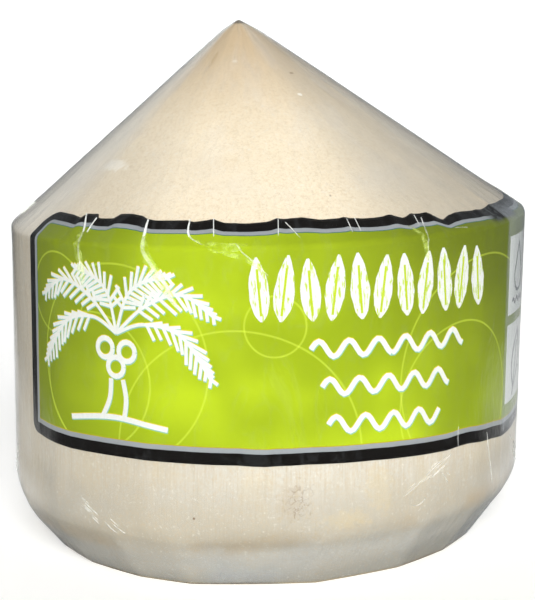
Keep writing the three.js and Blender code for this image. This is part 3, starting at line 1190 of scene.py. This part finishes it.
# A drop with a wave under it, and a leaf with its rib
def signLines():
    drop, leaf = [((left + right) / 2 - 3.5, (foot + top) / 2) for left, right, foot, top in ink["panels"]]
    dropLine = [(drop[0], drop[1] + 7.0)]
    for turn in np.radians(np.linspace(40, -220, 16)):
        dropLine.append((drop[0] + 3.6 * math.cos(turn), drop[1] - 0.5 + 3.6 * math.sin(turn)))
    dropLine.append(dropLine[0])
    ripple = [(drop[0] - 5 + x, drop[1] - 6.2 + 0.6 * math.sin(x * 1.9)) for x in np.arange(0, 10.2, 0.5)]
    leafLine = []
    for side in (1, -1):
        for share in np.linspace(0, 1, 10)[::side]:
            reach = 3.4 * math.sin(math.pi * share) * side
            leafLine.append((leaf[0] + reach + (share - 0.5) * 3, leaf[1] - 6.5 + 13 * share))
    rib = [(leaf[0] - 2.2, leaf[1] - 8.0), (leaf[0], leaf[1]), (leaf[0] + 0.9, leaf[1] + 4.0)]
    return [dropLine, ripple, leafLine, rib]


def makeInk():
    white = inkMaterial("white ink", ink["white"], 0.0)
    brushed = inkMaterial("brushed white ink", ink["white"], 0.9)
    cool = inkMaterial("cool ink out of register", ink["cool"], 0.0)
    warm = inkMaterial("warm ink out of register", ink["warm"], 0.0)
    sign = inkMaterial("grey ink", ink["sign"], 0.0)
    green = inkMaterial("leaf rib", label["green"], 0.0)

    def flat(lines, width, material, levels, tree=flatStrokes, shift=(0.0, 0.0), across=3, **more):
        moved = [[(spot[0] + shift[0], spot[1] + shift[1], *spot[2:]) for spot in line] for line in lines]
        inputs = {"Width": width, "Step": ink["step"], "Points Across": across, "Material": material}
        inputs.update(more)
        return strokesOn("stroke", moved, tree, inputs, onLabel, levels)

    ribs = [[ink["crown"], *rib] for rib in ink["fronds"]]
    frond = {
        "tree": drawnFrond,
        "Leaflets": ink["leaflets"],
        "Leaflet Length": ink["leafletLength"],
        "Spread": 0.75,
        "Droop": 0.45,
        "Bare Share": 0.3,
        "Seed": 3,
    }
    pieces = []
    # The white lines lie over the same lines in cool and warm ink, printed slightly out of place
    layers = [
        (warm, ink["warmLifts"], ink["warmShift"]),
        (cool, ink["underLifts"], ink["coolShift"]),
        (white, ink["lifts"], (0.0, 0.0)),
    ]
    for material, levels, shift in layers:
        pieces.append(flat(thinLines(), ink["thin"], material, levels, shift=shift))
        pieces.append(flat(ribs, ink["leafletWidth"], material, levels, shift=shift, **frond))
    pieces.append(flat(brushedLeaves(), ink["leafWidth"], brushed, ink["lifts"], across=7))
    pieces.append(flat(leafVeins(), 0.5, green, ink["signLifts"]))
    for panel in [*ink["panels"], ink["backPanel"]]:
        line, width = panelLine(panel)
        pieces.append(flat([line], width, white, ink["panelLifts"], across=round(width / ink["panelStep"])))
    pieces.append(flat(signLines(), ink["signWidth"], sign, ink["signLifts"]))
    return joinPieces(pieces, "labelInk")


print("print")
labelInk = makeInk()
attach(labelInk, "root")


# The film

film = {
    "columns": 360,
    "rowSpacing": 1.5,
    "hem": 0.6,
    "grainDepth": 0.02,
    "grainWidth": 2.2,
    "grainStretch": 5.0,
    "seed": 4.0,
    "overlapMiddle": 79.0,
    "overlapHalf": 18.0,
    "milk": colour(196, 203, 210),
    "overlapMilk": 0.3,
}


def filmMaterial():
    material, tree = newMaterial("clear film")
    wrapped = attribute(tree, "wrapped")
    turn = math.radians(film["overlapMiddle"])
    direction = (math.sin(turn) / drumRadius, -math.cos(turn) / drumRadius, 0.0)
    toMiddle = vectorCalc(tree, "DOT_PRODUCT", wrapped, direction)
    limit = math.cos(math.radians(film["overlapHalf"]))
    overlap = between(tree, toMiddle, limit - 0.004, limit + 0.004)
    walked = parts(tree, wrapped)["Z"]

    squeeze = vectorCalc(tree, "MULTIPLY", wrapped, (1.0, 1.0, 0.35))
    folds = noise(tree, squeeze, 0.12, 3.0, 0.55, 11.0, 1.2)
    haze = noise(tree, wrapped, 0.05, 2.0, 0.5, 12.0)
    streaks = between(tree, calc(tree, "ABSOLUTE", minus(tree, folds, 0.5)), 0.03, 0.0)
    aboveFoot = between(tree, walked, 80.0, 84.0, 0.3, 1.0)
    onPrint = times(tree, aboveFoot, between(tree, walked, 136.0, 132.0, 0.3, 1.0))
    milk = times(tree, times(tree, overlap, film["overlapMilk"]), onPrint)
    milk = plus(tree, milk, times(tree, streaks, 0.025))
    offLabel = calc(tree, "MAXIMUM", between(tree, walked, 82.0, 76.0), between(tree, walked, 139.0, 150.0))
    haziness = times(tree, between(tree, haze, 0.42, 0.7), times(tree, offLabel, 0.16))
    milk = plus(tree, milk, haziness)
    # Milky film on the bevel: partly the film bunching there, partly a painted cool reflection
    gatheredAndSheen = times(tree, between(tree, walked, 68.0, 58.0), between(tree, haze, 0.36, 0.66, 0.02, 0.2))
    milk = plus(tree, milk, gatheredAndSheen, clamp=True)

    wrinkle = noise(tree, vectorCalc(tree, "MULTIPLY", wrapped, (1.0, 1.0, 0.3)), 0.3, 3.0, 0.5, 13.0, 0.6)
    wrinkle = times(tree, wrinkle, between(tree, walked, 150.0, 138.0, 0.25, 1.0))
    bump = bumped(tree, wrinkle, 0.5, 0.5)
    inputs = {"Color": (1, 1, 1, 1), "Roughness": 0.16, "Normal": bump}
    gloss = addNode(tree, "ShaderNodeBsdfAnisotropic", inputs).outputs[0]
    clear = clearShader(tree, {"Color": (0.985, 0.985, 0.985, 1)})
    cloudy = principled(tree, film["milk"], 0.4, {"Normal": bump})
    fresnel = addNode(tree, "ShaderNodeFresnel", {"IOR": 1.5, "Normal": bump}).outputs[0]
    front = mixShader(tree, milk, mixShader(tree, fresnel, clear, gloss), cloudy)
    behind = addNode(tree, "ShaderNodeNewGeometry").outputs["Backfacing"]
    finishMaterial(tree, mixShader(tree, behind, front, clear))
    return material


def makeFilm():
    rows = rowsBetween(walkedAt(film["hem"]), outlineWalked[-1] - 0.25, film["rowSpacing"])
    columns = film["columns"]
    angles = roundAngles(columns)
    angle, walked = (values.ravel() for values in np.meshgrid(angles, rows))
    rise = pleatRise(angle, walked)
    outer = onFruit(angle, walked, lifts["film"] + rise)
    inner = onFruit(angle, walked, lifts["filmInside"] + rise)
    for side in (outer, inner):
        side[:, 2] = np.maximum(side[:, 2], 0.25 * mm)
    poles = onFruit([0.0, 0.0], [outlineWalked[-1]] * 2, [lifts["film"], lifts["filmInside"]])
    count = len(outer)
    top = (len(rows) - 1) * columns
    faces = gridFaces(len(rows), columns, closed=True)
    faces += gridFaces(len(rows), columns, first=count, closed=True, inward=True)
    for column in range(columns):
        beside = (column + 1) % columns
        faces.append([top + column, top + beside, 2 * count])
        faces.append([count + top + beside, count + top + column, 2 * count + 1])
        faces.append([count + column, count + beside, beside, column])
    piece = meshObject("filmBase", np.concatenate([outer, inner, poles]), faces)
    wrapped = wrappedAt(angle, walked)
    tip = [0, 0, outlineWalked[-1]]
    setAttribute(piece.data, "wrapped", np.concatenate([wrapped, wrapped, [tip, tip]]))
    share = np.interp(walked, [rows[0], rows[0] + 4, rows[-1] - 6, rows[-1]], [0.3, 1, 1, 0.3])
    # Both faces move the same way, so the inner one's share is turned round
    for name in ("reliefShare", "grainShare"):
        setAttribute(piece.data, name, np.concatenate([share, -share, [0, 0]]))
    return withRelief(piece, film, filmMaterial(), "clearFilm")


# Creases, gathers and scratches of the film: raised milky threads that follow it, partly whitened film
# and partly painted glints. Places are an angle and a walked length.
folds = {
    "step": 0.8,
    "lifts": (1.0, 1.2),
    "softLifts": (1.0, 1.13),
    "tone": colour(248, 250, 246),
    "softTone": colour(222, 240, 130),
    "endShare": 0.35,
    "gatherWidth": 0.22,
    # Soft streaks of light beside the creases: how wide each is
    "softStreaks": [
        (2.0, [(-43.6, 135.0), (-42.0, 130.0), (-41.2, 126.0), (-40.6, 122.5)]),
        (2.2, [(-26.0, 134.0), (-24.6, 129.5), (-21.6, 124.5), (-18.0, 118.6)]),
        (1.5, [(-14.5, 132.6), (-10.0, 131.2), (-4.0, 131.4)]),
        (1.2, [(-9.0, 130.2), (-5.0, 129.4), (-1.0, 126.6)]),
        (1.2, [(30.6, 134.0), (32.6, 130.0), (33.3, 126.0)]),
    ],
    # The creases seen over the label, and how wide each is
    "creases": [
        (0.4, [(-45.4, 139.4), (-42.3, 133.6), (-41.6, 129.4), (-41.0, 125.6)]),
        (0.35, [(-41.1, 138.2), (-41.1, 133.7)]),
        (0.75, [(-26.5, 138.5), (-25.5, 131.5), (-23.8, 128.3), (-20.6, 123.5), (-18.4, 119.3)]),
        (0.4, [(-16.6, 138.9), (-16.2, 134.1), (-13.1, 131.4)]),
        (0.45, [(-11.3, 138.9), (-10.9, 133.8)]),
        (0.4, [(2.8, 138.5), (2.2, 133.7)]),
        (0.35, [(4.2, 137.6), (6.4, 132.9)]),
        (0.4, [(17.6, 137.4), (17.4, 133.4)]),
        (0.35, [(19.5, 137.6), (19.3, 133.8)]),
        (0.35, [(34.0, 136.7), (33.1, 133.6)]),
        (0.3, [(35.4, 135.9), (33.3, 130.9), (33.3, 128.3)]),
        (0.22, [(41.6, 131.6), (44.8, 131.2)]),
        (0.35, [(-6.5, 131.6), (-3.7, 129.2), (-0.2, 125.6)]),
        (0.12, [(34.3, 78.2), (37.3, 80.1), (40.1, 81.5)]),
        (0.11, [(37.3, 79.1), (39.2, 77.4), (40.6, 75.2)]),
        (0.14, [(30.6, 72.4), (32.4, 71.8), (34.2, 72.9)]),
        (0.4, [(40.4, 77.6), (40.9, 77.0)]),
        (0.35, [(34.9, 77.9), (35.3, 77.4)]),
        (0.3, [(34.1, 73.2), (34.5, 72.9)]),
        (0.2, [(43.3, 87.6), (43.2, 85.5), (43.4, 83.0)]),
        (0.06, [(53.6, 84.0), (54.5, 80.0), (57.0, 71.0)]),
    ],
    # Clusters of scratches: where each starts and ends, how many, how wide
    "scratches": [
        ((-42.0, 73.4), (-29.0, 66.2), 14, 0.07),
        ((28.0, 74.0), (46.0, 84.0), 8, 0.07),
        ((-84.0, 66.0), (-70.0, 82.0), 6, 0.12),
        ((66.0, 80.0), (84.0, 66.0), 8, 0.12),
        ((120.0, 70.0), (150.0, 80.0), 10, 0.12),
        ((-150.0, 84.0), (-120.0, 70.0), 10, 0.12),
    ],
}


def onFilm(across, walked, lift):
    angle = np.asarray(across) / degreeLength
    return onFruit(angle, walked, lift + pleatRise(angle, walked))


def softMaterial():
    material, tree = newMaterial("light in the creases")
    place = addNode(tree, "ShaderNodeTexCoord").outputs["Object"]
    grain = noise(tree, place, 0.45 / mm, 4.0, 0.65, 23.0)
    share = between(tree, grain, 0.4, 0.68, 0.02, 0.42)
    pale = principled(tree, folds["softTone"], 0.3)
    finishMaterial(tree, mixShader(tree, share, clearShader(tree), pale))
    return material


# Full above the label, faint over the print and a little stronger below it
def foldMaterial():
    material, tree = newMaterial("creased film with painted glints")
    inMm = objectPlace(tree)
    grain = noise(tree, inMm, 0.5, 3.0, 0.6, 21.0)
    height = parts(tree, inMm)["Z"]
    below = between(tree, height, 32.0, 28.0, 0.0, 0.32)
    reach = calc(tree, "MAXIMUM", between(tree, height, 79.0, 80.2), below)
    share = times(tree, between(tree, grain, 0.3, 0.6, 0.5, 1.0), calc(tree, "MAXIMUM", reach, 0.22))
    # Milky white: creased film and painted glints
    milky = principled(tree, folds["tone"], between(tree, grain, 0.3, 0.7, 0.2, 0.4))
    finishMaterial(tree, mixShader(tree, share, clearShader(tree), milky))
    return material


# A line that starts and ends in a point
def tapered(line):
    ends = (0, len(line) - 1)
    points = []
    for index, (angle, walked) in enumerate(line):
        points.append((angle * degreeLength, walked, folds["endShare"] if index in ends else 1.0))
    return points


def makeFolds():
    draw = random.Random(5)
    material = foldMaterial()
    groups = {}
    for width, line in folds["creases"]:
        groups.setdefault(width, []).append(tapered(line))
    # Short gathers at the pleats on the unseen sides
    for middle, *_ in pleats:
        if -75 < middle < 75:
            continue
        top = walkedAt(rings[3]["height"]) + draw.uniform(5, 8)
        reach = draw.uniform(6, 14)
        bend = (middle + draw.uniform(-1, 1), top - reach * 0.5)
        line = [(middle, top), bend, (middle + draw.uniform(-3, 3), top - reach)]
        groups.setdefault(folds["gatherWidth"], []).append(tapered(line))
    # Fine scratches, each cluster along its own course
    for start, end, count, width in folds["scratches"]:
        start, end = np.array(start), np.array(end)
        for _ in range(count):
            first = draw.uniform(0, 0.75)
            last = first + draw.uniform(0.08, 0.22)
            aside = np.array([0.0, draw.gauss(0, 0.8)])
            places = [start + (end - start) * share + aside for share in (first, (first + last) / 2, last)]
            groups.setdefault(width, []).append(tapered([tuple(place) for place in places]))
    pieces = []
    for width, lines in groups.items():
        inputs = {"Width": width, "Step": folds["step"], "Points Across": 2, "Material": material}
        pieces.append(strokesOn("fold", lines, flatStrokes, inputs, onFilm, folds["lifts"]))
    soft = softMaterial()
    for width, line in folds["softStreaks"]:
        inputs = {"Width": width, "Step": folds["step"], "Points Across": 3, "Material": soft}
        pieces.append(strokesOn("soft", [tapered(line)], flatStrokes, inputs, onFilm, folds["softLifts"]))
    return joinPieces(pieces, "filmFolds")


print("film")
clearFilm = makeFilm()
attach(clearFilm, "root")
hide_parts("film")
clearFilm.visible_shadow = False
filmFolds = makeFolds()
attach(filmFolds, "root")
filmFolds.visible_shadow = False


# Camera, light and table

studio = {
    "cameraPlace": (0.52, -386.21, 123.58),
    "pitchDown": 10.02,
    "roll": -1.79,
    "lens": 94.716,
    "keyAngle": 5.0,
    "keyHeight": 28.0,
    "keySpread": 30.0,
    "keyPower": 3.5,
    "backAngle": 180.0,
    "backHeight": 14.0,
    "backSpread": 60.0,
    "backPower": 1.1,
    "tableTone": colour(246, 246, 245),
    "bounceTone": colour(205, 205, 203),
    "mirroredTone": colour(100, 103, 106),
    "surroundings": 0.04,
    "lowSurroundings": 0.32,
    "mirroredFront": 0.1,
    "mirroredBehind": 0.52,
    "tableGlow": 0.3,
    "bounceGlow": 0.2,
    "sweepWidth": 3.0,
    "sweepFront": -2.0,
    "sweepBack": 1.4,
    "sweepRound": 0.7,
    "sweepTop": 2.2,
}


def placeCamera():
    data = bpy.data.cameras.new("camera")
    data.lens = studio["lens"]
    data.sensor_width = 36
    data.sensor_fit = "AUTO"
    data.clip_start = 0.01
    data.clip_end = 20
    camera = bpy.data.objects.new("camera", data)
    pitch, roll = math.radians(studio["pitchDown"]), math.radians(studio["roll"])
    forward = Vector((0, math.cos(pitch), -math.sin(pitch)))
    right = Vector((1, 0, 0))
    up = right.cross(forward)
    rolledRight = right * math.cos(roll) + up * math.sin(roll)
    rolledUp = up * math.cos(roll) - right * math.sin(roll)
    turn = Matrix((rolledRight, rolledUp, -forward)).transposed()
    camera.matrix_world = Matrix.Translation(Vector(studio["cameraPlace"]) * mm) @ turn.to_4x4()
    scene.collection.objects.link(camera)
    scene.camera = camera


# A wide, distant lamp, given by where it comes from. It isn't seen in the film's gloss.
def addLamp(name, angle, height, spread, power):
    data = bpy.data.lights.new(name, "SUN")
    data.energy = power
    data.angle = math.radians(spread)
    lamp = bpy.data.objects.new(name, data)
    turn, rise = math.radians(angle), math.radians(height)
    direction = Vector((math.sin(turn) * math.cos(rise), -math.cos(turn) * math.cos(rise), math.sin(rise)))
    aimed = direction.to_track_quat("Z", "Y").to_matrix().to_4x4()
    lamp.matrix_world = Matrix.Translation(direction) @ aimed
    lamp.visible_glossy = False
    scene.collection.objects.link(lamp)


# White to the eye. To the fruit it is dimmer, brightest low down, and in its gloss darkest on the
# camera's side.
def setWorld():
    world = bpy.data.worlds.new("surroundings")
    scene.world = world
    world.use_nodes = True
    tree = world.node_tree
    tree.nodes.clear()
    path = addNode(tree, "ShaderNodeLightPath").outputs
    seen = path["Is Camera Ray"]
    towards = addNode(tree, "ShaderNodeTexCoord").outputs["Generated"]
    direction = parts(tree, towards)
    mirrored = between(tree, direction["Y"], 0.3, 0.98, studio["mirroredFront"], studio["mirroredBehind"])
    softly = between(tree, direction["Z"], 0.5, 0.0, studio["surroundings"], studio["lowSurroundings"])
    grey = between(tree, path["Is Glossy Ray"], 0.0, 1.0, softly, mirrored, "LINEAR")
    kinds = ({"Color": (0.95, 0.98, 1.0, 1), "Strength": grey}, {"Color": (1, 1, 1, 1), "Strength": 1.0})
    around, white = (addNode(tree, "ShaderNodeBackground", inputs).outputs[0] for inputs in kinds)
    addNode(tree, "ShaderNodeOutputWorld", {"Surface": mixShader(tree, seen, around, white)})


# The eye, the fruit's shaded side and its gloss each see the table in a tone of its own
def makeTable():
    material, tree = newMaterial("pale table")
    place = addNode(tree, "ShaderNodeTexCoord").outputs["Object"]
    grain = noise(tree, place, 6.0, 3.0, 0.5, 1.0)
    tone = mixColour(tree, between(tree, grain, 0.3, 0.7), studio["tableTone"], colour(250, 250, 249))
    path = addNode(tree, "ShaderNodeLightPath").outputs
    seen = path["Is Camera Ray"]
    floorPlace = parts(tree, place)
    depth, aside = floorPlace["Y"], calc(tree, "ABSOLUTE", floorPlace["X"])
    floorBehind = times(tree, between(tree, depth, -0.03, 0.05), between(tree, depth, 0.7, 0.45))
    floorBehind = times(tree, floorBehind, between(tree, aside, 0.24, 0.15))
    mirrored = mixColour(tree, floorBehind, studio["mirroredTone"], tone)
    tone = mixColour(tree, seen, studio["bounceTone"], tone)
    tone = mixColour(tree, path["Is Glossy Ray"], tone, mirrored)
    seenGlow = times(tree, seen, studio["tableGlow"])
    glow = between(tree, path["Is Diffuse Ray"], 0.0, 1.0, seenGlow, studio["bounceGlow"])
    more = {"Specular IOR Level": 0.1, "Emission Color": (1, 1, 1, 1), "Emission Strength": glow}
    finishMaterial(tree, principled(tree, tone, 0.7, more))

    # Flat under the fruit, then curved up behind it
    radius = studio["sweepRound"]
    floorEnd = studio["sweepBack"] - radius
    profile = [(studio["sweepFront"], 0.0), (floorEnd, 0.0)]
    for turn in np.radians(np.linspace(5, 90, 18)):
        profile.append((floorEnd + radius * math.sin(turn), radius * (1 - math.cos(turn))))
    profile.append((studio["sweepBack"], studio["sweepTop"]))
    wide = studio["sweepWidth"]
    points = [(side * wide, y, z) for y, z in profile for side in (-1, 1)]
    table = meshObject("table", points, gridFaces(len(profile), 2))
    table.data.materials.append(material)


print("camera, light and table")
placeCamera()
addLamp("key", studio["keyAngle"], studio["keyHeight"], studio["keySpread"], studio["keyPower"])
addLamp("back", studio["backAngle"], studio["backHeight"], studio["backSpread"], studio["backPower"])
setWorld()
makeTable()
scene.view_settings.view_transform = "Standard"
scene.view_settings.look = "None"
scene.render.film_transparent = False
scene.cycles.transparent_max_bounces = 16
